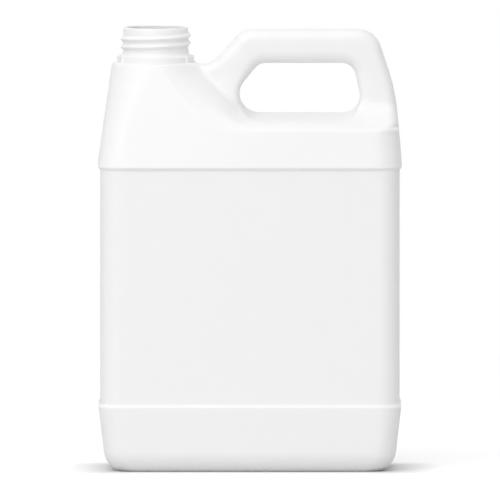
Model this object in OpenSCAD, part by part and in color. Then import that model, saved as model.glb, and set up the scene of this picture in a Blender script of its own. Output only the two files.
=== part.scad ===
// Half-gallon F-style jug: one blow-moulded shell with a hollow loop handle and an open screw neck.
// Lengths are millimetres, +Z is up, the label panel faces -Y and the origin is under the middle.

/* [Body] */
// Width of the body across the lip above the label panel
body_w = 162; // [150:1:175]
// Depth of the body, front to back, at that lip
body_d = 74; // [68:1:86]
// Height of the lip's widest line above the table
lip_z = 162.7; // [150:0.1:175]
// Height of the widest line of the base band
band_z = 34.4; // [28:0.1:42]
// How far the label panel lies below the lip
panel_recess = 1.2; // [0.8:0.1:2]
// Height of the sloped step at each end of the panel
step_h = 2; // [1.5:0.1:4]
// How much narrower the base band is than the lip, on each side
band_inset = 0.3; // [0:0.1:0.8]
// Inward lean of the base band's sides in millimetres for each millimetre of height
band_draft = 0.118; // [0.05:0.005:0.16]
// The same lean on the front and the back
front_band_draft = 0.04; // [0:0.005:0.1]
// Radius of the upright corners of the body
corner_r = 13; // [9:0.5:17]
// Height at which the wall starts to round in under the body
foot_h = 10.5; // [8:0.5:11]
// Radius of that round; it meets the table at an angle, as it is larger than its height
foot_r = 12; // [11.5:0.5:15]
// Depth of the hollow pressed up into the base
push_up = 2; // [1:0.25:4]
// Width of the flat rim that the jug stands on
stand_w = 7; // [5:0.5:10]

/* [Shoulder] */
// Height of the crease where the front of the shoulder turns in under the handle
crease_z = 183.1; // [178:0.1:186]
// Rise from that crease to where the front meets the middle of the handle
shelf_rise = 11; // [9:0.1:13]
// Height of the round platform that carries the neck
deck_z = 217.1; // [212:0.1:222]
// Radius of that platform
deck_r = 23.2; // [22:0.1:26]
// Distance of the neck's axis to the left of the middle
neck_offset = 50.2; // [46:0.1:54]
// How fast the crease climbs towards the neck
crease_climb = 0.0138; // [0.012:0.0002:0.016]
// Share of the front's lean that is lost towards the handle
lean_loss = 0.4; // [0:0.05:0.6]

/* [Handle] */
// Thickness of the handle, front to back
grip_d = 26; // [22:0.5:30]
// Height of the top of the handle
grip_top_z = 234.3; // [231:0.1:238]
// Height of the bar over the hand hole
bar_h = 17.4; // [15:0.2:20]
// Radius of the handle's long edges
grip_edge_r = 6; // [4:0.25:7.5]
// Height of the hand hole's sill in the middle of its depth
hole_z = 190.2; // [187:0.1:193]
// How steeply the sill falls towards the front and the back
sill_slope = 0.117; // [0.08:0.003:0.15]
// Distance of the hand hole's left foot to the left of the middle
hole_left = 17.6; // [16:0.2:19]
// Distance of the hand hole's right foot to the right of the middle
hole_right = 60.7; // [58:0.2:62]

/* [Neck] */
// Outer diameter of the neck between the threads
neck_d = 34.6; // [34:0.1:35]
// Diameter of the mouth's bore
bore_d = 31.2; // [29:0.1:31.6]
// Height of the neck above the platform
neck_h = 18.6; // [17:0.1:20]
// Diameter over the thread
thread_d = 37.6; // [37:0.1:38]
// Rise of the thread in one turn
thread_pitch = 4.23; // [4:0.01:4.4]
// Turns of the thread
thread_turns = 2.5; // [1.5:0.25:2.75]
// Diameter of the ring at the foot of the neck
ring_d = 39.6; // [38.5:0.1:40.4]
// Height of that ring and its lugs
ring_h = 3.4; // [3:0.1:4]
// Diameter over the two ratchet lugs on the ring
lug_d = 41.1; // [40.6:0.1:42]
// Angle that each lug takes of the ring
lug_angle = 64; // [50:1:80]

/* [Wall] */
// Thickness of the blown wall
wall = 1.1; // [0.8:0.1:1.6]
// Thickness of the base
base_wall = 2; // [1.5:0.1:3]

/* [Hidden] */
$fn = 96;
lap = 1;
// Fineness of the outer and the inner surface: columns, rows of the foot, rows of the shoulder,
// points on a quarter round of the handle's edges, and the least angle between its sections
outer_grid = [36, 6, 16, 3, 2.2];
inner_grid = [36, 2, 8, 2, 3];

half_w = body_w / 2;
half_d = body_d / 2;
panel_top_z = lip_z - step_h;
panel_bottom_z = band_z + step_h;
neck_x = -neck_offset;
half_grip = grip_d / 2;
shelf_z = crease_z + shelf_rise;
deck_left = deck_r + neck_offset;
front_draft = (half_d - deck_r) / (deck_z - lip_z);

function mix(a, b, t) = a + (b - a) * t;
function clamp(t) = max(0, min(1, t));
function ease(a, b, t) = let (s = clamp((t - a) / (b - a))) s * s * (3 - 2 * s);
// Smaller of two values, rounded over a width k where they meet
function soft_min(a, b, k) = min(a, b) - pow(max(k - abs(a - b), 0) / k, 2) * k / 4;
// How far a quarter round of radius r has fallen at a distance d inside its edge
function round_drop(d, r) = d >= r ? 0 : r - sqrt(max(r * r - pow(r - max(d, 0), 2), 0));

// Inset of the walls from the lip at height z: round foot, leaning band, step, flat panel, step, lip
function side_inset(z, draft = band_draft) =
    z < band_z ? band_inset + (band_z - z) * draft + round_drop(z + foot_r - foot_h, foot_r) :
    z < panel_bottom_z ? mix(band_inset, panel_recess, ease(band_z, panel_bottom_z, z)) :
    z < panel_top_z ? panel_recess :
    z < lip_z ? mix(panel_recess, 0, ease(panel_top_z, lip_z, z)) : 0;

// Right side of the shoulder and handle: a long curve that leans in more the higher it goes
right_low_draft = 0.085;
right_high_draft = 0.34;
right_bend_r = 144;
right_knee_rise = 38.9;
right_knee_in = 3.3;
right_knee_z = lip_z + right_knee_rise;
right_knee_x = half_w - right_knee_in;
bend_reach = right_bend_r * (right_high_draft - right_low_draft) / 2;
function right_x(z) =
    let (u = clamp((z - right_knee_z + bend_reach) / (2 * bend_reach)),
         low = right_knee_x - right_low_draft * (z - right_knee_z))
    low - (right_high_draft - right_low_draft)
        * (z > right_knee_z + bend_reach ? z - right_knee_z : u * u * bend_reach);
function left_x(z) = -half_w + max(z - lip_z, 0) * (half_w - deck_left) / (deck_z - lip_z);
function low_x(z) = z < lip_z ? -half_w + side_inset(z) : left_x(z);
function high_x(z) = z < lip_z ? half_w - side_inset(z) : min(half_w, right_x(z));

// Height of the crease along the front, and of the valley where the shoulder meets the handle
valley_soft = 2;
valley_x = -6.5;
flare_h = 3.5;
flare_bow = 0.8;
flare_from = hole_right - 12.7;
flare_to = hole_right + 1.3;
crease_bow = 0.000001;
function crease(x) =
    let (left = -clamp(x / neck_x) * neck_x)
    crease_z + crease_climb * left * left + crease_bow * pow(left, 4);
function valley(x) = shelf_z + valley_soft * ln(1 + exp((valley_x - x) / valley_soft))
    + flare_h * ease(flare_from, flare_to, x);

// Height of the roof under the hand hole, which takes the round feet of the hole's outline
roof_left = 4.9;
roof_right = 49.6;
hole_r = [10.4, 7, 7.5, 9];
function roof_z(x) =
    x < roof_left - hole_r[0] || x > roof_right + hole_r[3] ? grip_top_z * 2 :
    hole_z + round_drop(x - roof_left + hole_r[0], hole_r[0])
        + round_drop(roof_right + hole_r[3] - x, hole_r[3]);

// Half depth of the body at a point of the front view, before the upright corners are rounded
// The top of the tower turns into the platform's circle
valley_inset = 3;
inner_half = half_grip - valley_inset;
crease_soft = 5;
deck_blend_h = 16;
deck_blend_x = -20;
steepest = -9;
lean_from = -62;
lean_to = 20;
function front(x, z) =
    half_d - side_inset(min(z, lip_z), front_band_draft)
    - max(z - lip_z, 0) * front_draft * (1 - lean_loss * ease(lean_from, lean_to, x));
function flank(x, z) =
    let (t = max((z - crease(x)) / (valley(x) - crease(x)), steepest),
         p = 1 + flare_bow * ease(flare_from, flare_to, x))
    t > 0 ? mix(front(x, z), inner_half, t < 1 ? 1 - pow(1 - t, p) : t) : front(x, z) * (1 - t);
function turned(x, z) =
    let (round = sqrt(max(deck_r * deck_r - pow(max(x - neck_x, 0), 2), 0)))
    mix(soft_min(front(x, z), flank(x, z), crease_soft), round,
        x < deck_blend_x ? ease(deck_z - deck_blend_h, deck_z, z) : 0);
function left_r(z) = corner_r + (deck_r - corner_r) * pow(clamp((z - lip_z) / (deck_z - lip_z)), 2);
function half_depth(x, z) = min((roof_z(x) - z) / sill_slope,
    turned(x, z) - round_drop(x - low_x(z), left_r(z)) - round_drop(high_x(z) - x, corner_r));

// Share of the width at each column: close together in the upright corners
corner_share = 0.09;
corner_columns = 5;
function share(i, n) =
    i <= corner_columns ? corner_share * (1 - cos(90 * i / corner_columns)) :
    i >= n - corner_columns ? 1 - share(n - i, n) :
    mix(corner_share, 1 - corner_share, (i - corner_columns) / (n - 2 * corner_columns));

// Top of each column: the platform, or a level inside the handle's root
roof_cap = 8;
function top_z(x) =
    min(deck_z, valley(x) + (x > flare_from ? -lap / 2 : lap), roof_z(x) - roof_cap * sill_slope);

// Heights of the rows of points: from the floor to the lip, then past the crease to the column's top
function low_levels(floor_z, n) = concat(
    [for (j = [0 : n]) mix(floor_z, foot_h, 1 - cos(90 * j / n))],
    [band_z, mix(band_z, panel_bottom_z, 0.5), panel_bottom_z,
     panel_top_z, mix(panel_top_z, lip_z, 0.5)]);
turn_h = 4.5;
function high_levels(x, top, n) =
    let (turn = min(crease(x), top - turn_h), quarter = n / 4, half = n / 2)
    concat([for (j = [0 : quarter - 1]) mix(lip_z, turn - turn_h, j / quarter)],
        [for (j = [0 : quarter - 1]) mix(turn - turn_h, turn, j / quarter)],
        [for (j = [0 : half]) mix(turn, top, j / half)]);

// The blown body, drawn in columns of points from left to right, all set in by one distance; the
// sloping shoulder is lowered too, so that its wall keeps its thickness
shoulder_lowering = 1.6;
lowering_h = 10;
least_half = 0.4;
module body(inset, floor_z, grid) {
    n = grid[0];
    rows = [for (i = [0 : n])
        let (x0 = mix(low_x(deck_z), high_x(deck_z), share(i, n)), top = top_z(x0))
        [for (z = concat(low_levels(floor_z, grid[1]), high_levels(x0, top, grid[2])))
            let (x = mix(low_x(z), high_x(z), share(i, n)))
            [x * (1 - inset / half_w), max(half_depth(x, z) - inset, least_half),
             z - shoulder_lowering * inset * ease(lip_z, lip_z + lowering_h, z)]]];
    m = len(rows[0]);
    points = [for (side = [-1, 1]) for (c = rows) for (p = c) [p[0], side * p[1], p[2]]];
    back = (n + 1) * m;
    faces = concat(
        [for (i = [0 : n - 1]) for (j = [0 : m - 2])
            let (a = i * m + j, b = a + 1, c = a + m + 1, d = a + m)
            each [[a, b, c], [a, c, d], [back + a, back + c, back + b], [back + a, back + d, back + c]]],
        [for (j = [0 : m - 2]) let (a = n * m + j)
            each [[j, back + j, back + j + 1, j + 1], [a, a + 1, back + a + 1, back + a]]],
        [for (i = [0 : n - 1]) let (a = i * m, b = a + m - 1)
            each [[a, a + m, back + a + m, back + a], [b, back + b, back + b + m, b + m]]]);
    polyhedron(points, faces, convexity = 6);
}

// Outline with each corner [x, z, radius] turned into an arc
function corner_arc(a, b, c, r, n = 7) =
    let (u = (a - b) / norm(a - b), v = (c - b) / norm(c - b),
         half = acos(u * v) / 2, reach = r / tan(half),
         mid = (u + v) / norm(u + v), centre = b + mid * r / sin(half),
         p = b + u * reach - centre, q = b + v * reach - centre,
         sweep = 180 - 2 * half)
    r == 0 ? [b] :
    [for (k = [0 : n]) centre + (p * sin(sweep * (1 - k / n)) + q * sin(sweep * k / n)) / sin(sweep)];
function outline(c) = [for (i = [0 : len(c) - 1])
    let (a = c[(i + len(c) - 1) % len(c)], b = c[i], d = c[(i + 1) % len(c)])
    each corner_arc([a[0], a[1]], [b[0], b[1]], [d[0], d[1]], b[2])];

// Front view of the handle's ring, outside and around the hand hole, as corners [x, z, radius]
root_x = neck_x + 16;
root_z = crease_z - 4;
leg_w = 14;
leg_slope = 1.11;
leg_x = leg_w - hole_left;
saddle_z = deck_z - 1.5;
saddle_r = 9.5;
top_left_r = 11;
top_right_r = 13;
knee_r = 111;
bar_z = grip_top_z - bar_h;
hole_h = bar_z - hole_z;
hole_left_lean = 0.85;
hole_right_lean = 0.214;
function ring_outside(drop) = [
    [root_x, saddle_z - drop, 0],
    [leg_x - (grip_top_z - saddle_z + drop) / leg_slope, saddle_z - drop, saddle_r],
    [leg_x, grip_top_z, top_left_r],
    [right_knee_x - right_high_draft * (grip_top_z - right_knee_z), grip_top_z, top_right_r],
    [right_knee_x, right_knee_z, knee_r],
    [right_knee_x, root_z, 0],
    [root_x, root_z, 0]];
hand_hole = [
    [-hole_left, hole_z, hole_r[0]],
    [hole_h * hole_left_lean - hole_left, bar_z, hole_r[1]],
    [hole_right - hole_h * hole_right_lean, bar_z, hole_r[2]],
    [hole_right, hole_z, hole_r[3]]];

// Distance from the middle of the hand hole to an outline, in the direction of angle a
ring_centre = [mix(-hole_left, hole_right, 0.557), (bar_z + hole_z) / 2];
function cross2(a, b) = a[0] * b[1] - a[1] * b[0];
function reach(points, a) =
    let (d = [cos(a), sin(a)], n = len(points))
    max([for (i = [0 : n - 1])
        let (p = points[i] - ring_centre, e = points[(i + 1) % n] - points[i], k = cross2(d, e))
        abs(k) < 1e-9 ? 0 :
        let (t = cross2(p, e) / k, u = cross2(p, d) / k)
        t > 0 && u >= -1e-6 && u <= 1 + 1e-6 ? t : 0]);
function sorted(v, gap) = len(v) < 2 ? v :
    let (pivot = v[floor(len(v) / 2)])
    concat(sorted([for (x = v) if (x < pivot - gap) x], gap), [pivot],
        sorted([for (x = v) if (x > pivot + gap) x], gap));
function angles(points) = [for (p = points) let (q = p - ring_centre) atan2(q[1], q[0])];

// Point j of a section across the ring: a rectangle with round edges, outside of radius r1 and at the
// hole r0 wide and deep
function section_point(j, n, width, thick, r0, r1) =
    let (q = floor(j / (n + 1)), k = j % (n + 1), a = 90 * (q + k / n),
         r = q == 0 || q == 3 ? [r1, r1] : r0,
         cx = (q == 0 || q == 3 ? 1 : -1) * (width / 2 - r[0]),
         cy = (q < 2 ? 1 : -1) * (thick / 2 - r[1]))
    [cx + r[0] * cos(a), cy + r[1] * sin(a)];

// The handle's ring: sections on rays from the middle of the hand hole, whose sill falls to both sides
sill_top_w = 1;
sill_fall = 1.5 * sill_slope * half_grip;
sill_turn_h = 6;
inset_r_share = 0.7;
roof_lowering = 1.4;
ray_step = 20;
module grip(inset, grid) {
    outside = outline(ring_outside(roof_lowering * inset));
    inside = outline(hand_hole);
    even = [for (a = [ray_step / 2 - 180 : ray_step : 180]) a];
    rays = sorted(concat(angles(outside), angles(inside), even), grid[4]);
    m = 4 * (grid[3] + 1);
    n = len(rays);
    points = [for (a = rays)
        let (low = reach(inside, a) + inset, high = reach(outside, a) - inset,
             under = ease(0, sill_turn_h, hole_z + sill_turn_h - ring_centre[1] - low * sin(a)),
             most = (high - low) / 2.1, cut = inset * inset_r_share,
             r0 = [min(mix(grip_edge_r - cut, sill_fall, under), most),
                   mix(grip_edge_r - cut, half_grip - sill_top_w / 2 - inset, under)],
             r1 = min(grip_edge_r - cut, most))
        for (j = [0 : m - 1])
            let (p = section_point(j, grid[3], high - low, grip_d - 2 * inset, r0, r1),
                 w = (low + high) / 2 + p[0])
            [ring_centre[0] + w * cos(a), p[1], ring_centre[1] + w * sin(a)]];
    faces = [for (i = [0 : n - 1]) for (j = [0 : m - 1])
        let (a = i * m + j, b = i * m + (j + 1) % m,
             c = ((i + 1) % n) * m + (j + 1) % m, d = ((i + 1) % n) * m + j)
        each [[a, c, b], [a, d, c]]];
    polyhedron(points, faces, convexity = 6);
}

// The form that the mould gives: body and handle drawn as one
module blown(inset, floor_z, grid) {
    resize([0, 0, 0]) union() {
        body(inset, floor_z, grid);
        grip(inset, grid);
    }
}

// Neck between the threads, the cone under them, the ring and its two lugs
lip_r = 0.6;
cone_h = 1.9;
cone_d = 37.4;
lug_turn = -3;
module neck() {
    translate([neck_x, 0, deck_z]) {
        rotate_extrude()
            polygon([[bore_d / 2 - lap, -lap], [ring_d / 2, -lap], [ring_d / 2, ring_h],
                [cone_d / 2, ring_h], [neck_d / 2, ring_h + cone_h],
                [neck_d / 2, neck_h - lip_r], [neck_d / 2 - lip_r, neck_h],
                [bore_d / 2 - lap, neck_h]]);
        for (side = [0, 180])
            rotate_extrude(angle = lug_angle, start = side - lug_angle / 2 + lug_turn)
                translate([ring_d / 2 - lap, -lap / 2])
                    square([(lug_d - ring_d) / 2 + lap, ring_h + lap / 2]);
    }
}

// Helical bead: a rounded tooth swept up the neck, fading into it at both ends
thread_base = 2.4;
thread_sunk = 0.6;
thread_end_gap = 2.2;
thread_steps = 20;
fade_steps = 3;
module thread() {
    tooth = [[-1, 0], [-0.45, 0.75], [0, 1], [0.45, 0.75], [1, 0]];
    n = ceil(thread_turns * thread_steps);
    rise = thread_turns * thread_pitch;
    start_z = deck_z + neck_h - thread_end_gap - rise;
    points = [for (i = [0 : n])
        let (a = 180 + 360 * thread_turns * (i / n - 1),
             tall = (thread_d - neck_d) / 2 * min(1, (min(i, n - i) + 0.5) / fade_steps),
             z = start_z + rise * i / n)
        each concat(
            [for (t = tooth)
                let (r = neck_d / 2 + tall * t[1] - (t[1] == 0 ? thread_sunk / 10 : 0))
                [neck_x + r * cos(a), r * sin(a), z + t[0] * thread_base / 2]],
            [for (e = [1, -1])
                let (r = neck_d / 2 - thread_sunk)
                [neck_x + r * cos(a), r * sin(a), z + e * thread_base / 2]])];
    m = len(tooth) + 2;
    faces = concat(
        [for (i = [0 : n - 1]) for (j = [0 : m - 1])
            let (a = i * m + j, b = i * m + (j + 1) % m, c = b + m, d = a + m)
            each [[a, b, c], [a, c, d]]],
        [[for (j = [m - 1 : -1 : 0]) j], [for (j = [0 : m - 1]) n * m + j]]);
    polyhedron(points, faces, convexity = 6);
}

// Hollow pressed up into the base, with sloped sides
push_up_lean = 1.5;
module push_up_hollow() {
    edge_w = half_w - side_inset(0) - stand_w;
    edge_d = half_d - side_inset(0, front_band_draft) - stand_w;
    points = [for (e = [[-lap, 0], [push_up, push_up * push_up_lean]])
        for (s = [[-1, -1], [1, -1], [1, 1], [-1, 1]])
            [s[0] * (edge_w - e[1]), s[1] * (edge_d - e[1]), e[0]]];
    sides = [for (i = [0 : 3]) [i, i + 4, (i + 1) % 4 + 4, (i + 1) % 4]];
    polyhedron(points, concat([[0, 1, 2, 3], [7, 6, 5, 4]], sides));
}

module bottle() {
    color("white") difference() {
        union() {
            blown(0, 0, outer_grid);
            neck();
            thread();
        }
        blown(wall, push_up + base_wall, inner_grid);
        translate([neck_x, 0, deck_z - 2 * wall])
            cylinder(d = bore_d, h = neck_h + 2 * wall + lap);
        push_up_hollow();
    }
}

bottle();
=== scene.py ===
import bpy, math
import numpy as np
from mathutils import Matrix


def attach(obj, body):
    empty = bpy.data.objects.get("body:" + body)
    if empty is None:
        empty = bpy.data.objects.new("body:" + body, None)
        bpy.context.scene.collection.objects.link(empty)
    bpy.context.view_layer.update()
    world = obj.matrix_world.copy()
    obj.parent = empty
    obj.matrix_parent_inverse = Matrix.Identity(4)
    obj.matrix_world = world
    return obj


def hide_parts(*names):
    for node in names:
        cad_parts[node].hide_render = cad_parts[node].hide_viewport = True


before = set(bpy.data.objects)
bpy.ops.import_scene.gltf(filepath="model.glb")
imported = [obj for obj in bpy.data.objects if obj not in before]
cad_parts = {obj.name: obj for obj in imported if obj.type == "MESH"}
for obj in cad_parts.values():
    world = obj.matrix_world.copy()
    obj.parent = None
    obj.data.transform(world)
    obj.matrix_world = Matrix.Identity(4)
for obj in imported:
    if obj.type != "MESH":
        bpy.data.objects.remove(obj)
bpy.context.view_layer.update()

# Studio.
# A white sweep, as a pack shot has it: a pale floor, lifted to white for the camera by a glow that
# fades out round the foot and so paints shade there, and a white background, lit by the room and by
# three large soft lamps. The camera stands far off and looks along +Y from just over the table, so
# that its picture has next to no perspective.


def to_linear(code):
    """sRGB hex colour to linear RGBA."""
    parts = [int(code[i:i + 2], 16) / 255 for i in (1, 3, 5)]
    return [p / 12.92 if p <= 0.04045 else ((p + 0.055) / 1.055) ** 2.4 for p in parts] + [1]


def add_node(tree, kind, settings=None, **inputs):
    """Adds a node; an input is a value or another node's socket, and its name has _ for a space."""
    node = tree.nodes.new(kind)
    for name, value in (settings or {}).items():
        setattr(node, name, value)
    for name, value in inputs.items():
        socket = node.inputs[int(name[1:])] if name[1:].isdigit() else node.inputs[name.replace("_", " ")]
        if isinstance(value, bpy.types.NodeSocket):
            tree.links.new(value, socket)
        else:
            socket.default_value = value
    return node


PIXEL = 0.533
LOOK_DOWN = math.radians(3.5)
camera = bpy.data.objects.new("camera", bpy.data.cameras.new("camera"))
camera.data.type = "ORTHO"
camera.data.ortho_scale = 500 * PIXEL / 1000
camera.location = (0.00005, -2 * math.cos(LOOK_DOWN), 0.1166 + 2 * math.sin(LOOK_DOWN))
camera.rotation_euler = (math.radians(90) - LOOK_DOWN, 0, 0)
camera.data.clip_end = 20
bpy.context.scene.collection.objects.link(camera)
bpy.context.scene.camera = camera
bpy.context.scene.view_settings.view_transform = "Standard"

world = bpy.data.worlds.new("room")
bpy.context.scene.world = world
world.use_nodes = True
world.node_tree.nodes.clear()
path = add_node(world.node_tree, "ShaderNodeLightPath")
seen = add_node(world.node_tree, "ShaderNodeMath", {"operation": "MAXIMUM"},
                _0=path.outputs["Is Camera Ray"], _1=path.outputs["Is Transmission Ray"])
seen = add_node(world.node_tree, "ShaderNodeMath", {"operation": "MAXIMUM"},
                _0=seen.outputs[0], _1=path.outputs["Is Glossy Ray"])
way = add_node(world.node_tree, "ShaderNodeSeparateXYZ",
               Vector=add_node(world.node_tree, "ShaderNodeTexCoord").outputs["Generated"])
above = add_node(world.node_tree, "ShaderNodeMapRange", Value=way.outputs["Z"], To_Min=0.365, To_Max=0.944)
room = add_node(world.node_tree, "ShaderNodeBackground", Color=to_linear("#FFFFFF"),
                Strength=above.outputs["Result"])
sweep = add_node(world.node_tree, "ShaderNodeBackground", Color=to_linear("#FFFFFF"), Strength=1.0)
both = add_node(world.node_tree, "ShaderNodeMixShader", _0=seen.outputs[0],
                _1=room.outputs[0], _2=sweep.outputs[0])
add_node(world.node_tree, "ShaderNodeOutputWorld", Surface=both.outputs[0])


AIM = (0, 0, 0.12)


def soft_lamp(name, place, aim, size, power):
    """Square area lamp that faces its aim."""
    lamp = bpy.data.objects.new(name, bpy.data.lights.new(name, "AREA"))
    lamp.data.shape = "RECTANGLE"
    lamp.data.size, lamp.data.size_y, lamp.data.energy = size, size, power
    lamp.location = place
    way = [a - p for a, p in zip(aim, place)]
    flat = math.hypot(way[0], way[1])
    lamp.rotation_euler = (math.atan2(flat, -way[2]), 0, math.atan2(-way[0], way[1]))
    bpy.context.scene.collection.objects.link(lamp)


def from_angles(around, up, away=2.4):
    """Place of a lamp this far from the object, turned from straight in front and raised."""
    a, e = math.radians(around), math.radians(up)
    return away * math.sin(a) * math.cos(e), -away * math.cos(a) * math.cos(e), AIM[2] + away * math.sin(e)


for name, around, up, power in (("softbox_left", -40, 35, 9.4), ("softbox_high", -10, 55, 9.6),
                                ("softbox_front", -10, 17, 9.8)):
    soft_lamp(name, from_angles(around, up), AIM, 1.5, power)

# The camera sees the paper lifted to white by a glow, but in a strip round the foot the glow fades out,
# which paints shade there over the foot's real shadow
floor_mesh = bpy.data.meshes.new("floor")
floor_mesh.from_pydata([(-1, -1, 0), (1, -1, 0), (1, 1, 0), (-1, 1, 0)], [], [(0, 1, 2, 3)])
floor = bpy.data.objects.new("floor", floor_mesh)
bpy.context.scene.collection.objects.link(floor)
paper = bpy.data.materials.new("white_paper_sweep")
paper.use_nodes = True
paper.node_tree.nodes.clear()
path = add_node(paper.node_tree, "ShaderNodeLightPath")
matt = add_node(paper.node_tree, "ShaderNodeBsdfDiffuse", Color=to_linear("#E0E0E0"))
spot = add_node(paper.node_tree, "ShaderNodeTexCoord").outputs["Object"]
away = add_node(paper.node_tree, "ShaderNodeVectorMath", {"operation": "ABSOLUTE"}, _0=spot)
away = add_node(paper.node_tree, "ShaderNodeVectorMath", {"operation": "SUBTRACT"},
                _0=away.outputs[0], _1=(0.072, 0.029, 0.0))
away = add_node(paper.node_tree, "ShaderNodeVectorMath", {"operation": "MAXIMUM"},
                _0=away.outputs[0], _1=(0.0, 0.0, 0.0))
away = add_node(paper.node_tree, "ShaderNodeVectorMath", {"operation": "LENGTH"}, _0=away.outputs[0])
# Glow strength: none at the foot, full 30 mm out, so the strip round the foot is painted shade
painted_shade_ramp = add_node(paper.node_tree, "ShaderNodeMapRange", Value=away.outputs["Value"],
                 From_Min=0.0, From_Max=0.03, To_Min=0.0, To_Max=0.36)
lift = add_node(paper.node_tree, "ShaderNodeMath", {"operation": "MULTIPLY"},
                _0=path.outputs["Is Camera Ray"], _1=painted_shade_ramp.outputs[0])
glow = add_node(paper.node_tree, "ShaderNodeEmission", Strength=lift.outputs[0])
both = add_node(paper.node_tree, "ShaderNodeAddShader", _0=matt.outputs[0], _1=glow.outputs[0])
add_node(paper.node_tree, "ShaderNodeOutputMaterial", Surface=both.outputs[0])
floor_mesh.materials.append(paper)

# Blown body and handle.
# High-density polyethylene, blown as one tube into a two-part mould: a flat-fronted body with a
# sunk label panel, a shoulder that turns in under a crease, and a hollow loop handle pinched flat
# between the halves. The walls are worked out as one smooth surface, in millimetres.
# Body: half width and depth at the lip, the lip, the base band and the recess between them, the
# round foot, and the lean of the band at the sides and at the front
HALF_W, HALF_D = 81.0, 37.0
LIP_Z, BAND_Z, STEP_H, RECESS = 162.7, 34.4, 2.0, 1.2
FOOT_H, FOOT_R, BAND_INSET, BAND_DRAFT, FRONT_DRAFT = 10.5, 12.0, 0.3, 0.118, 0.04
# Shoulder: upright corners, round platform and neck's axis, crease, foot of the handle, and the
# share of the front's lean that is lost towards the handle
CORNER_R, DECK_Z, DECK_R, NECK_X = 13.0, 217.1, 23.2, -50.2
CREASE_Z, VALLEY_Z, LEAN_LOSS = 183.1, 192.9, 0.4
# Handle: half thickness, top, underside of the bar, sill, long edges, and the knee of its right side
HALF_GRIP, GRIP_TOP, BAR_Z, HOLE_Z, GRIP_R = 13.0, 234.3, 216.9, 190.2, 4.7
KNEE_X, KNEE_Z, LEG_W, HOLE_LEFT, HOLE_RIGHT = 77.7, 201.6, 14.0, 17.6, 60.7
# Wall and base, the hollow pressed up into the base, and the rim that the jug stands on
WALL, BASE_WALL, PUSH_UP, STAND_W = 1.1, 2.0, 2.0, 7.0


def ease(low, high, t):
    """Smooth rise from 0 to 1 as t goes from low to high."""
    s = np.clip((t - low) / (high - low), 0, 1)
    return s * s * (3 - 2 * s)


def soft_min(a, b, k):
    """Smaller of two values, rounded over a width k where they meet."""
    return np.minimum(a, b) - np.maximum(k - abs(a - b), 0) ** 2 / (4 * k)


def round_edge(a, b, r):
    """Where two surfaces meet at a convex edge of radius r; both distances are negative inside."""
    return np.minimum(np.maximum(a, b), -r) + np.hypot(np.maximum(a + r, 0), np.maximum(b + r, 0))


def side_inset(z):
    """How far the walls lie inside the lip: round foot, leaning band, step, sunk panel, step."""
    below = np.clip(FOOT_H - z, 0, FOOT_R - 0.1)
    foot = FOOT_R - np.sqrt(FOOT_R ** 2 - below ** 2)
    band = BAND_INSET + np.maximum(BAND_Z - z, 0) * BAND_DRAFT + foot
    return band + (RECESS - BAND_INSET) * ease(BAND_Z, BAND_Z + STEP_H, z) \
        - RECESS * ease(LIP_Z - STEP_H, LIP_Z, z)


def arc_outline(corners):
    """Points of a closed outline whose corners (x, z, radius) are turned into arcs."""
    points = []
    for i, (x, z, r) in enumerate(corners):
        b = np.array([x, z])
        a, c = np.array(corners[i - 1][:2]), np.array(corners[(i + 1) % len(corners)][:2])
        u, v = (a - b) / np.linalg.norm(a - b), (c - b) / np.linalg.norm(c - b)
        half = math.acos(np.clip(u @ v, -1, 1)) / 2
        if r == 0:
            points.append(b)
            continue
        middle = b + (u + v) / np.linalg.norm(u + v) * r / math.sin(half)
        p, q = b + u * r / math.tan(half) - middle, b + v * r / math.tan(half) - middle
        sweep = math.pi - 2 * half
        for t in np.linspace(0, 1, 25):
            turned = p * math.sin(sweep * (1 - t)) + q * math.sin(sweep * t)
            points.append(middle + turned / math.sin(sweep))
    return np.array(points)


class Outline:
    """Signed distance to a closed outline in the front view, read from a fine grid."""
    step, low = 0.5, (-90.0, -30.0)
    shape = (361, 561)

    def __init__(self, points):
        x = self.low[0] + self.step * np.arange(self.shape[0])[:, None]
        z = self.low[1] + self.step * np.arange(self.shape[1])[None, :]
        near = np.full(self.shape, 1e9)
        inside = np.zeros(self.shape, bool)
        for (ax, az), (bx, bz) in zip(points, np.roll(points, -1, 0)):
            ex, ez = bx - ax, bz - az
            if ex * ex + ez * ez < 1e-12:
                continue
            t = np.clip(((x - ax) * ex + (z - az) * ez) / (ex * ex + ez * ez), 0, 1)
            near = np.minimum(near, (x - ax - t * ex) ** 2 + (z - az - t * ez) ** 2)
            if ez != 0:
                inside ^= ((az > z) != (bz > z)) & (x < ax + (z - az) * ex / ez)
        self.values = np.where(inside, -1, 1) * np.sqrt(near)

    def __call__(self, x, z):
        u = np.clip((x - self.low[0]) / self.step, 1, self.shape[0] - 3)
        w = np.clip((z - self.low[1]) / self.step, 1, self.shape[1] - 3)
        u, w = np.broadcast_arrays(u, w)
        i, j = u.astype(int), w.astype(int)
        total = 0
        for a, share in enumerate(self.spline(u - i)):
            for b, part in enumerate(self.spline(w - j)):
                total = total + share * part * self.values[i + a - 1, j + b - 1]
        return total

    @staticmethod
    def spline(t):
        return (t * (t * (2 - t) - 1) / 2, (t * t * (3 * t - 5) + 2) / 2,
                t * (t * (4 - 3 * t) + 1) / 2, t * t * (t - 1) / 2)


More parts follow.
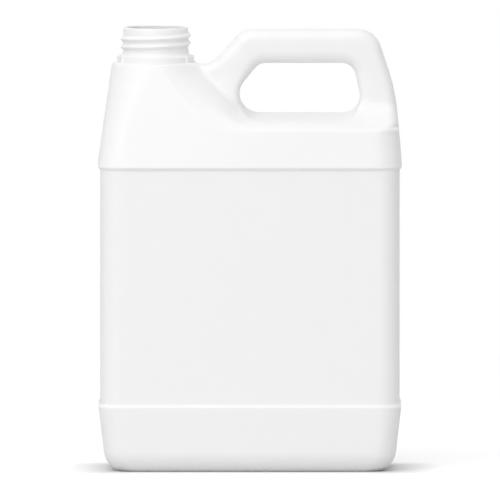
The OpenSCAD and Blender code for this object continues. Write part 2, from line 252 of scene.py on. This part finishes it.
LEG_X = LEG_W - HOLE_LEFT
sides = Outline(arc_outline([
    (-HALF_W, -29, 0), (-HALF_W, LIP_Z, 3), (-HALF_W + 0.1405 * 77, LIP_Z + 77, 0),
    (KNEE_X - 0.34 * (LIP_Z + 77 - KNEE_Z), LIP_Z + 77, 0), (KNEE_X, KNEE_Z, 144),
    (HALF_W, LIP_Z, 3), (HALF_W, -29, 0)]))
ring = Outline(arc_outline([
    (NECK_X + 12, 215.8, 0), (LEG_X - (GRIP_TOP - 215.8) / 1.11, 215.8, 9.5), (LEG_X, GRIP_TOP, 11),
    (KNEE_X - 0.34 * (GRIP_TOP - KNEE_Z), GRIP_TOP, 13), (KNEE_X, KNEE_Z, 111),
    (KNEE_X + 1.5, 183, 0), (KNEE_X - 6, 172, 0), (NECK_X + 12, 172, 0)]))
hole = Outline(arc_outline([
    (-HOLE_LEFT, HOLE_Z, 10.4), (0.85 * (BAR_Z - HOLE_Z) - HOLE_LEFT, BAR_Z, 7),
    (HOLE_RIGHT - 0.214 * (BAR_Z - HOLE_Z), BAR_Z, 7.5), (HOLE_RIGHT, HOLE_Z, 9)]))


def crease_z(x):
    """Height of the crease, which climbs towards the neck."""
    left = np.clip(-x, 0, -NECK_X)
    return CREASE_Z + 0.0138 * left ** 2 + 0.000001 * left ** 4


def valley_z(x):
    """Height where the front meets the handle: level under the hole, rising along the left leg."""
    return VALLEY_Z + 2 * np.log1p(np.exp((-6.5 - x) / 2)) + 3.5 * ease(50, 60, x)


def grip_half(x, z):
    """Half thickness of the handle: even, but its left leg sinks a little towards the neck."""
    sink = 0.22 * 2 * np.log1p(np.exp(-(x + 12) / 2))
    return HALF_GRIP - sink * (1 - ease(211, 219, z))


def front_half(x, z):
    """Half depth of the body at a point of the front view, before its corners are rounded."""
    draft = (HALF_D - DECK_R) / (DECK_Z - LIP_Z) * (1 - LEAN_LOSS * ease(-62, 20, x))
    plain = HALF_D - np.maximum(z - LIP_Z, 0) * draft
    t = np.maximum((z - crease_z(x)) / (valley_z(x) - crease_z(x)), -9)
    c = np.clip(t, 0, 1)
    left, right = 1 - ease(-14, 4, x), ease(50, 60, x)
    swell = left * (0.28 * c + 0.72 * c ** 2.2) + right * (1 - 0.25 * (1 - c) - 0.75 * (1 - c) ** 2.6) \
        + (1 - left - right) * c
    turned = np.where(t > 0, plain + (grip_half(x, z) - plain) * (swell + 2 * np.maximum(t - 1, 0)),
                      plain * (1 - t))
    return soft_min(plain, turned, 4.0)


def base_z(x, y):
    """Underside: a flat rim round a shallow hollow, crossed by the pinched seam."""
    rim = side_inset(0) + STAND_W
    edge = np.minimum(HALF_W - rim - abs(x), HALF_D - rim + BAND_Z * (BAND_DRAFT - FRONT_DRAFT) - abs(y))
    return PUSH_UP * ease(0, 5, edge)


def jug(x, y, z, inset=0.0, floor=0.0):
    """About the distance to the jug's outside, negative inside; inset moves it inwards."""
    # The walls up to the shoulder, whose upright corners get sharper along the handle
    s = side_inset(z)
    slope = (side_inset(z + 0.05) - side_inset(z - 0.05)) / 0.1
    half = front_half(x, z)
    lean = np.hypot((front_half(x + 0.05, z) - front_half(x - 0.05, z)) / 0.1,
                    (front_half(x, z + 0.05) - front_half(x, z - 0.05)) / 0.1)
    y = abs(y)
    left = CORNER_R + (DECK_R - CORNER_R) * np.clip((z - LIP_Z) / (DECK_Z - LIP_Z), 0, 1) ** 2
    right = CORNER_R + (GRIP_R - CORNER_R) * ease(CREASE_Z - 3, CREASE_Z + 3.3, z)
    corner = np.where(x < 0, left, right) - 2 * (1 - ease(LIP_Z - STEP_H, LIP_Z, z))
    front = s - np.maximum(BAND_Z - z, 0) * (BAND_DRAFT - FRONT_DRAFT)
    body = round_edge((y - half) / np.hypot(1, lean) + front, sides(x, z) + s, corner)
    body = body / np.hypot(1, slope)
    # The round platform under the neck, and its fall into the handle's left foot
    edge = NECK_X + DECK_R
    top = (z - DECK_Z + 4 * ease(edge - 3, edge + 4, x)) / 1.2
    body = round_edge(body, top, 1.0 + ease(edge - 12, edge - 2, x))
    # The hand hole, whose sill falls to the front and the back like a roof
    sill = 0.06 * y + 2.0 * (1 - np.exp(-y ** 2 / (8 * y + 12)))
    around = hole(x, z + sill * ease(0, 10, HOLE_Z + 12 - z))
    body = round_edge(body, -around, 1.0)
    under = ease(0, 6, HOLE_Z + 6 - z) * (1 - ease(5, 9, around))
    # The handle: its long edges are sharper at the left leg and rounder under the bar
    leg = 1 - ease(-10, 4, x)
    edge_r = (GRIP_R + 1.6 * ease(200, 212, z) * (1 - ease(4, 9, around))) * (1 - leg) \
        + (3.5 + 1.8 * ease(3, 9, around)) * leg
    grip = round_edge(y - grip_half(x, z), np.maximum(ring(x, z), -around), edge_r + (0.5 - edge_r) * under)
    join = (0.3 + 2.5 * (1 - ease(-12, 2, x))) * ease(0, 3, around)
    whole = soft_min(body, grip, 0.01 + join * ease(7, 11, y))
    return np.maximum(whole + inset, base_z(x, y) + floor - z)


def grid_lines(*stretches):
    """Grid lines from (start, end, spacing) stretches that follow one another."""
    lines = [np.linspace(a, b, max(2, round((b - a) / step) + 1))[:-1] for a, b, step in stretches]
    return np.concatenate(lines + [[stretches[-1][1]]])


def skin(field, xs, ys, zs, rounds=3):
    """Quads over the surface where the field is 0: one point in each grid cell that it crosses."""
    v = field(xs[:, None, None], ys[None, :, None], zs[None, None, :])
    v = np.broadcast_to(v, (len(xs), len(ys), len(zs)))
    low = v < 0
    n = np.array(v.shape) - 1
    count = sum(low[a:n[0] + a, b:n[1] + b, c:n[2] + c].astype(np.int8)
                for a in (0, 1) for b in (0, 1) for c in (0, 1))
    cells = np.argwhere((count > 0) & (count < 8))
    number = np.full(n, -1)
    number[tuple(cells.T)] = np.arange(len(cells))
    lines = (xs, ys, zs)
    total, hits = np.zeros((len(cells), 3)), np.zeros(len(cells))
    for axis in range(3):
        for p in (0, 1):
            for q in (0, 1):
                a = cells.copy()
                a[:, (axis + 1) % 3] += p
                a[:, (axis + 2) % 3] += q
                b = a.copy()
                b[:, axis] += 1
                va, vb = v[tuple(a.T)], v[tuple(b.T)]
                cross = (va < 0) != (vb < 0)
                t = np.where(cross, va / np.where(cross, va - vb, 1), 0)
                at = np.stack([lines[k][a[:, k]] for k in range(3)], 1)
                at[:, axis] += t * (lines[axis][b[:, axis]] - lines[axis][a[:, axis]])
                total += at * cross[:, None]
                hits += cross
    points = total / hits[:, None]
    quads = []
    for axis in range(3):
        i, j = (axis + 1) % 3, (axis + 2) % 3
        first = np.moveaxis(low, axis, 0)[:-1]
        second = np.moveaxis(low, axis, 0)[1:]
        edge = np.argwhere(np.moveaxis(first != second, 0, axis))
        edge = edge[(edge[:, i] > 0) & (edge[:, j] > 0)]
        ring_cells = []
        for p, q in ((-1, -1), (0, -1), (0, 0), (-1, 0)):
            cell = edge.copy()
            cell[:, i] += p
            cell[:, j] += q
            ring_cells.append(number[tuple(cell.T)])
        quad = np.stack(ring_cells, 1)
        out = low[tuple(edge.T)]
        quads.append(np.where(out[:, None], quad, quad[:, ::-1]))
    quads = np.concatenate(quads)

    def settle(points, times):
        for _ in range(times):
            x, y, z = points.T
            f = field(x, y, z)
            e = 0.02
            g = np.stack([field(x + e, y, z) - f, field(x, y + e, z) - f, field(x, y, z + e) - f], 1) / e
            move = f[:, None] * g / np.maximum((g * g).sum(1), 0.05)[:, None]
            points = points - move / np.maximum(np.linalg.norm(move, axis=1), 1)[:, None]
        return points

    points = settle(points, 4)
    ends = np.concatenate([quads[:, [k, (k + 1) % 4]] for k in range(4)])
    for _ in range(rounds):
        near = np.stack([np.bincount(ends[:, 0], points[ends[:, 1], k], len(points)) for k in range(3)], 1)
        links = np.bincount(ends[:, 0], minlength=len(points))
        points = settle(points + 0.5 * (near / links[:, None] - points), 2)
    return points, quads


outer = skin(jug, grid_lines((-82.3, 82.3, 1.25)), grid_lines((-38.3, 38.3, 1.25)),
             grid_lines((-0.7, 3, 0.62), (3, 14, 1.1), (14, 33.6, 2), (33.6, 37.2, 0.4), (37.2, 159.6, 4),
                        (159.6, 164, 0.4), (164, 181, 1.2), (181, 191, 0.7), (191, 236, 1.15)))
inner = skin(lambda x, y, z: jug(x, y, z, WALL, BASE_WALL), grid_lines((-82, 82, 2.5)),
             grid_lines((-40, 40, 2.5)),
             grid_lines((1, 14, 1.6), (14, 160, 6), (160, 166, 1.5), (166, 236, 2.3)))


def shell(name, points, faces):
    """Object from points in millimetres."""
    mesh = bpy.data.meshes.new(name)
    mesh.from_pydata((np.asarray(points) / 1000).tolist(), [], [list(map(int, f)) for f in faces])
    piece = bpy.data.objects.new(name, mesh)
    bpy.context.scene.collection.objects.link(piece)
    return piece


bottle = shell("bottle", *outer)
cavity = shell("cavity", *inner)

# Neck.
# The same plastic, shaped by the mould's neck insert to a 38 mm screw finish: a sharp round lip,
# a plain wall, a cone over a flat ring, and two ratchet lugs on the ring that stop a closure.
NECK_TOP, NECK_R, BORE_R, THREAD_R, PITCH, TURNS = 235.7, 17.3, 15.6, 18.8, 4.23, 2.5
RING_R, RING_TOP, LUG_R, LUG_HALF, LUG_TURN = 19.8, 220.5, 20.55, math.radians(32), math.radians(-3)


def turned_solid(name, profile, steps=192, lug=False):
    """Lathe of (radius, height) points about the neck's axis; a lug lifts the points marked so."""
    angles = np.linspace(0, 2 * math.pi, steps, endpoint=False)
    if lug:
        ends = [side + s * (LUG_HALF + e) for side in (0, math.pi) for s in (-1, 1) for e in (0, 0.015)]
        angles = np.sort(np.concatenate([angles, np.mod(ends, 2 * math.pi)]))
    n, m = len(angles), len(profile)
    points, faces = [], []
    for a in angles:
        away = min(abs((a + math.pi) % (2 * math.pi) - math.pi), abs(a - math.pi))
        raised = lug and away < LUG_HALF + 0.005
        for r, z, *marked in profile:
            r += (LUG_R - RING_R) if raised and marked else 0
            points.append((NECK_X + r * math.cos(a + LUG_TURN), r * math.sin(a + LUG_TURN), z))
    for i in range(n):
        for k in range(m - 1):
            a, b = i * m + k, ((i + 1) % n) * m + k
            faces.append((a, b, b + 1, a + 1))
    faces.append([i * m for i in range(n)][::-1])
    faces.append([i * m + m - 1 for i in range(n)])
    return shell(name, points, faces)


neck = turned_solid("neck", [
    (19.2, DECK_Z - 1.2), (RING_R, DECK_Z - 1.2, 1), (RING_R, RING_TOP - 0.3, 1),
    (RING_R - 0.3, RING_TOP, 1), (18.8, RING_TOP), (18.7, RING_TOP + 0.1), (17.35, RING_TOP + 1.8),
    (NECK_R, RING_TOP + 2), (NECK_R, NECK_TOP - 0.6), (NECK_R - 0.18, NECK_TOP - 0.18),
    (NECK_R - 0.6, NECK_TOP), (15.9, NECK_TOP)], lug=True)
bore = turned_solid("bore", [
    (BORE_R, DECK_Z - 4), (BORE_R, NECK_TOP - 0.35),
    (BORE_R + 0.35, NECK_TOP), (BORE_R + 0.35, NECK_TOP + 2)])

# Thread.
# A rounded bead on the neck, right-handed, that fades out at both ends where the insert was cut.
tree = bpy.data.node_groups.new("thread", "GeometryNodeTree")
tree.interface.new_socket("Geometry", in_out="OUTPUT", socket_type="NodeSocketGeometry")
for name, value in (("Radius", NECK_R), ("Pitch", PITCH), ("Turns", TURNS), ("Height", THREAD_R - NECK_R),
                    ("Width", 3.5)):
    socket = tree.interface.new_socket(name, in_out="INPUT", socket_type="NodeSocketFloat")
    socket.default_value = value
tree.interface.new_socket("Plastic", in_out="INPUT", socket_type="NodeSocketMaterial")
sizes = add_node(tree, "NodeGroupInput")
rise = add_node(tree, "ShaderNodeMath", {"operation": "MULTIPLY"},
                _0=sizes.outputs["Pitch"], _1=sizes.outputs["Turns"])
path = add_node(tree, "GeometryNodeCurveSpiral", Resolution=96, Rotations=sizes.outputs["Turns"],
                Start_Radius=sizes.outputs["Radius"], End_Radius=sizes.outputs["Radius"],
                Height=rise.outputs[0], Reverse=True)
along = add_node(tree, "GeometryNodeSplineParameter")
left_over = add_node(tree, "ShaderNodeMath", {"operation": "SUBTRACT"}, _0=1.0, _1=along.outputs["Factor"])
end = add_node(tree, "ShaderNodeMath", {"operation": "MINIMUM"},
               _0=along.outputs["Factor"], _1=left_over.outputs[0])
fade = add_node(tree, "ShaderNodeMapRange", {"interpolation_type": "SMOOTHSTEP"},
                Value=end.outputs[0], From_Min=0.0, From_Max=0.05, To_Min=0.35, To_Max=1.0)
upright = add_node(tree, "GeometryNodeSetCurveNormal", {"mode": "Z_UP"}, Curve=path.outputs[0])
round_wire = add_node(tree, "GeometryNodeCurvePrimitiveCircle", Resolution=24, Radius=1.0)
at = add_node(tree, "ShaderNodeSeparateXYZ", Vector=add_node(tree, "GeometryNodeInputPosition").outputs[0])
blunt = add_node(tree, "ShaderNodeCombineXYZ", X=at.outputs["Y"], Y=0.13)
off = add_node(tree, "ShaderNodeVectorMath", {"operation": "LENGTH"}, _0=blunt.outputs[0])
slope = add_node(tree, "ShaderNodeMath", {"operation": "SUBTRACT", "use_clamp": True},
                 _0=1.13, _1=off.outputs["Value"])
bowed = add_node(tree, "ShaderNodeMath", {"operation": "POWER"}, _0=slope.outputs[0], _1=1.25)
side = add_node(tree, "ShaderNodeMath", {"operation": "SIGN"}, _0=at.outputs["X"])
high = add_node(tree, "ShaderNodeMath", {"operation": "MULTIPLY"}, _0=bowed.outputs[0], _1=side.outputs[0])
point = add_node(tree, "ShaderNodeCombineXYZ", X=high.outputs[0], Y=at.outputs["Y"])
ridge = add_node(tree, "GeometryNodeSetPosition", Geometry=round_wire.outputs[0], Position=point.outputs[0])
half_width = add_node(tree, "ShaderNodeMath", {"operation": "MULTIPLY"}, _0=sizes.outputs["Width"], _1=0.5)
size = add_node(tree, "ShaderNodeCombineXYZ", X=sizes.outputs["Height"], Y=half_width.outputs[0], Z=1.0)
tooth = add_node(tree, "GeometryNodeTransform", Geometry=ridge.outputs[0], Scale=size.outputs[0])
bead = add_node(tree, "GeometryNodeCurveToMesh", Curve=upright.outputs[0],
                Profile_Curve=tooth.outputs[0], Scale=fade.outputs[0], Fill_Caps=True)
real = add_node(tree, "GeometryNodeRealizeInstances", Geometry=bead.outputs[0])
dressed = add_node(tree, "GeometryNodeSetMaterial", Geometry=real.outputs[0],
                   Material=sizes.outputs["Plastic"])
add_node(tree, "NodeGroupOutput", Geometry=dressed.outputs[0])


# White plastic.
# Natural-white blow-moulded high-density polyethylene: pigmented, so nearly opaque, with a satin
# skin from the sandblasted mould and long shallow waves where the blown wall cooled unevenly.
plastic = bpy.data.materials.new("white_blown_hdpe")
plastic.use_nodes = True
plastic.node_tree.nodes.clear()
place = add_node(plastic.node_tree, "ShaderNodeTexCoord").outputs["Object"]
waves = add_node(plastic.node_tree, "ShaderNodeTexNoise", Vector=place, Scale=28.0, Detail=2.0)
grain = add_node(plastic.node_tree, "ShaderNodeTexNoise", Vector=place, Scale=1400.0, Detail=2.0)
swell = add_node(plastic.node_tree, "ShaderNodeBump", Strength=0.35, Distance=0.0004,
                 Height=waves.outputs["Fac"])
skin_bump = add_node(plastic.node_tree, "ShaderNodeBump", Strength=0.12, Distance=0.00004,
                     Height=grain.outputs["Fac"], Normal=swell.outputs["Normal"])
gloss = add_node(plastic.node_tree, "ShaderNodeMapRange", Value=grain.outputs["Fac"],
                 From_Min=0.3, From_Max=0.7, To_Min=0.40, To_Max=0.50)
body_shader = add_node(plastic.node_tree, "ShaderNodeBsdfPrincipled",
                       Base_Color=to_linear("#F1F1F1"), Roughness=gloss.outputs[0], IOR=1.54,
                       Subsurface_Weight=0.3, Subsurface_Scale=0.001, Normal=skin_bump.outputs["Normal"])
body_shader.inputs["Subsurface Radius"].default_value = (1.0, 1.0, 1.0)
add_node(plastic.node_tree, "ShaderNodeOutputMaterial", Surface=body_shader.outputs[0])

# The jug in one piece.
# Blowing makes body, handle and neck as one skin, so the parts above are joined: outside first,
# then the hollow and the bore are taken out.
host = shell("thread", [], [])
spin = host.modifiers.new("thread", "NODES")
spin.node_group = tree
for socket in tree.interface.items_tree:
    if socket.in_out == "INPUT" and socket.name == "Plastic":
        spin[socket.identifier] = plastic
thread_mesh = bpy.data.meshes.new_from_object(host.evaluated_get(bpy.context.evaluated_depsgraph_get()))
host.modifiers.remove(spin)
host.data = thread_mesh
start = NECK_TOP - 2.2 - PITCH * TURNS
for vertex in thread_mesh.vertices:
    x, y, z = vertex.co
    vertex.co = ((NECK_X + x) / 1000, y / 1000, (start + z) / 1000)


def join(piece, other, how):
    """Joins the other mesh into the piece, or takes it out, and drops the other object."""
    step = piece.modifiers.new(how, "BOOLEAN")
    step.operation, step.object, step.solver = how, other, "MANIFOLD"
    made = bpy.data.meshes.new_from_object(piece.evaluated_get(bpy.context.evaluated_depsgraph_get()))
    piece.modifiers.remove(step)
    piece.data = made
    bpy.data.objects.remove(other)


join(bottle, neck, "UNION")
join(bottle, host, "UNION")
join(bottle, cavity, "DIFFERENCE")
join(bottle, bore, "DIFFERENCE")
bottle.data.name = "bottle"
bottle.data.materials.clear()
bottle.data.materials.append(plastic)
bottle.data.polygons.foreach_set("material_index", [0] * len(bottle.data.polygons))
bottle.data.polygons.foreach_set("use_smooth", [True] * len(bottle.data.polygons))
bottle.data.set_sharp_from_angle(angle=math.radians(40))
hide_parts("bottle")
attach(bottle, "root")
